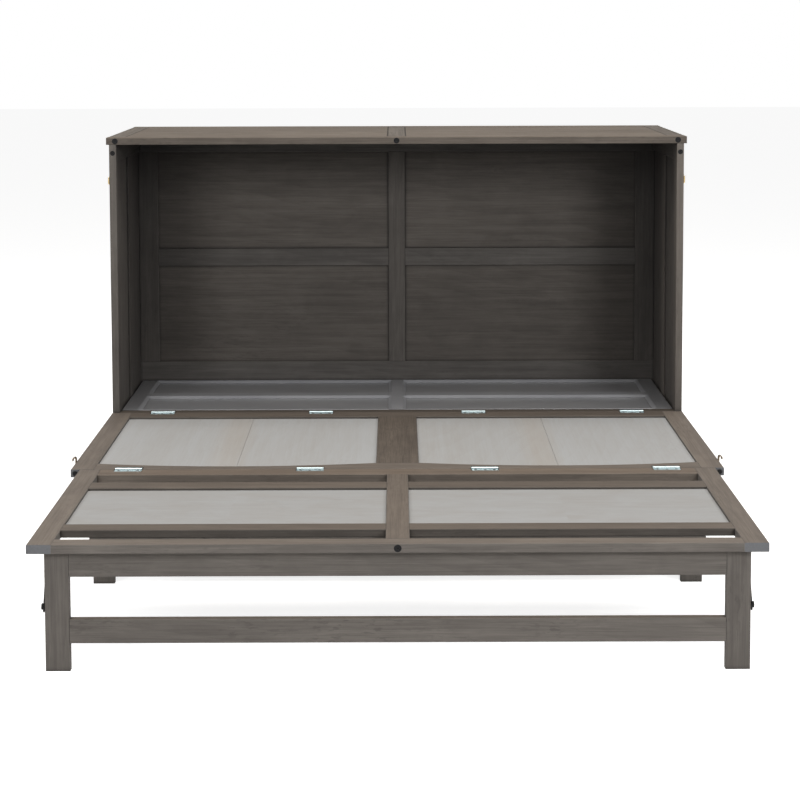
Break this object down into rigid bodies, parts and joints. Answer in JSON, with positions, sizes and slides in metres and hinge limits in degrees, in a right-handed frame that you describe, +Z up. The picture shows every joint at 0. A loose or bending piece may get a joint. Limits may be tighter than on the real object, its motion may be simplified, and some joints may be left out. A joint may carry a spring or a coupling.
{
  "type": "cabinet bed",
  "caption": "Folding cabinet bed, shown open: panelled chest, hinged middle section, front section that folds over it, and folding leg frames with stays.",
  "frame": {"origin": "on the floor, under the centre of the opened bed's bounding box", "axes": "+Z up, +Y from the foot of the bed to the back of the chest, +X to the right when facing the chest"},
  "size_m": [1.6572, 2.173, 1.07],
  "materials": {
    "driftwood": "open-grained grey-brown driftwood stain, matte",
    "platform_grey": "grey satin paint",
    "whitewash": "whitewashed boards, matte",
    "bare_wood": "unstained hardwood, sanded",
    "zinc": "bright zinc plate",
    "brass_plate": "satin brass plate",
    "bronze": "dark bronze",
    "black_steel": "black oxide, satin",
    "black_rubber": "moulded rubber"
  },
  "bodies": {
    "chest": {"top_rails": "driftwood", "top_stiles": "driftwood", "top_boards": "driftwood", "left_side_stiles": "driftwood", "left_side_rails": "driftwood", "left_side_panels": "driftwood", "right_side_stiles": "driftwood", "right_side_rails": "driftwood", "right_side_panels": "driftwood", "back_rails": "driftwood", "back_stiles": "driftwood", "back_panels": "driftwood", "platform_frame": "platform_grey", "platform_panels": "platform_grey", "hinge_rail": "driftwood", "lower_front_stiles": "driftwood", "lower_front_rails": "driftwood", "lower_front_panels": "driftwood", "platform_cleats": "bare_wood", "platform_bearers": "bare_wood", "connector_bolts": "black_steel", "latch_plates": "brass_plate", "chest_hinge_rear_leaves": "zinc", "chest_hinge_pins": "zinc"},
    "middle_section": {"middle_side_stiles": "driftwood", "middle_centre_stile": "driftwood", "middle_hinge_rail": "driftwood", "middle_arched_rail": "driftwood", "middle_panels": "whitewash", "strike_hooks": "bronze", "bumpers": "black_rubber", "chest_hinge_front_leaves": "zinc", "fold_hinge_rear_leaves": "zinc", "fold_hinge_pins": "zinc"},
    "front_section": {"front_side_stiles": "driftwood", "front_centre_stile": "driftwood", "front_end_rail": "driftwood", "front_fold_rail": "driftwood", "front_slats": "driftwood", "rear_slats": "driftwood", "front_panels": "whitewash", "front_bolt": "black_steel", "front_cross_beams": "driftwood", "fold_hinge_front_leaves": "zinc", "leg_hinge_section_leaves": "zinc", "stay_brackets": "black_steel"},
    "front_leg_frame": {"front_legs": "driftwood", "front_leg_rails": "driftwood", "front_leg_hinge_leaves": "zinc", "front_stay_bolts": "black_steel"},
    "seam_leg_frame": {"seam_legs": "driftwood", "seam_leg_rails": "driftwood", "seam_leg_hinge_leaves": "zinc", "seam_stay_bolts": "black_steel"},
    "front_stays": {"front_leg_stays": "black_steel"},
    "seam_stays": {"seam_leg_stays": "black_steel"},
    "left_latch_lever": {"left_latch_lever": "brass_plate"},
    "left_latch_loop": {"left_latch_loop": "brass_plate"},
    "right_latch_lever": {"right_latch_lever": "brass_plate"},
    "right_latch_loop": {"right_latch_loop": "brass_plate"}
  },
  "joints": [
    {"name": "middle_section_fold", "type": "hinge", "parent": "chest", "child": "middle_section", "pos_m": [0, 0.4285, 0.283], "axis": [-1, 0, 0], "range_deg": [0, 90]},
    {"name": "front_section_fold", "type": "hinge", "parent": "middle_section", "child": "front_section", "pos_m": [0, -0.3335, 0.283], "axis": [-1, 0, 0], "range_deg": [0, 180]},
    {"name": "front_leg_frame_fold", "type": "hinge", "parent": "front_section", "child": "front_leg_frame", "pos_m": [0, -1.0435, 0.259], "axis": [1, 0, 0], "range_deg": [0, 90]},
    {"name": "seam_leg_frame_fold", "type": "hinge", "parent": "front_section", "child": "seam_leg_frame", "pos_m": [0, -0.3665, 0.259], "axis": [-1, 0, 0], "range_deg": [0, 90]},
    {"name": "front_stays_swing", "type": "hinge", "parent": "front_section", "child": "front_stays", "pos_m": [0, -0.9995, 0.255], "axis": [1, 0, 0], "range_deg": [0, 116.77]},
    {"name": "seam_stays_swing", "type": "hinge", "parent": "front_section", "child": "seam_stays", "pos_m": [0, -0.4105, 0.255], "axis": [-1, 0, 0], "range_deg": [0, 116.77]},
    {"name": "left_latch_lever_turn", "type": "hinge", "parent": "chest", "child": "left_latch_lever", "pos_m": [-0.82125, 0.4685, 0.945], "axis": [0, 0, -1], "range_deg": [-150, 0]},
    {"name": "left_latch_loop_turn", "type": "hinge", "parent": "left_latch_lever", "child": "left_latch_loop", "pos_m": [-0.82125, 0.4805, 0.945], "axis": [0, 0, 1], "range_deg": [0, 180]},
    {"name": "right_latch_lever_turn", "type": "hinge", "parent": "chest", "child": "right_latch_lever", "pos_m": [0.82125, 0.4685, 0.945], "axis": [0, 0, 1], "range_deg": [-150, 0]},
    {"name": "right_latch_loop_turn", "type": "hinge", "parent": "right_latch_lever", "child": "right_latch_loop", "pos_m": [0.82125, 0.4805, 0.945], "axis": [0, 0, -1], "range_deg": [0, 180]}
  ],
  "couplings": [
    {"joint": "front_stays_swing", "follows": "front_leg_frame_fold", "ratio": 1.2974},
    {"joint": "seam_stays_swing", "follows": "seam_leg_frame_fold", "ratio": 1.2974}
  ]
}
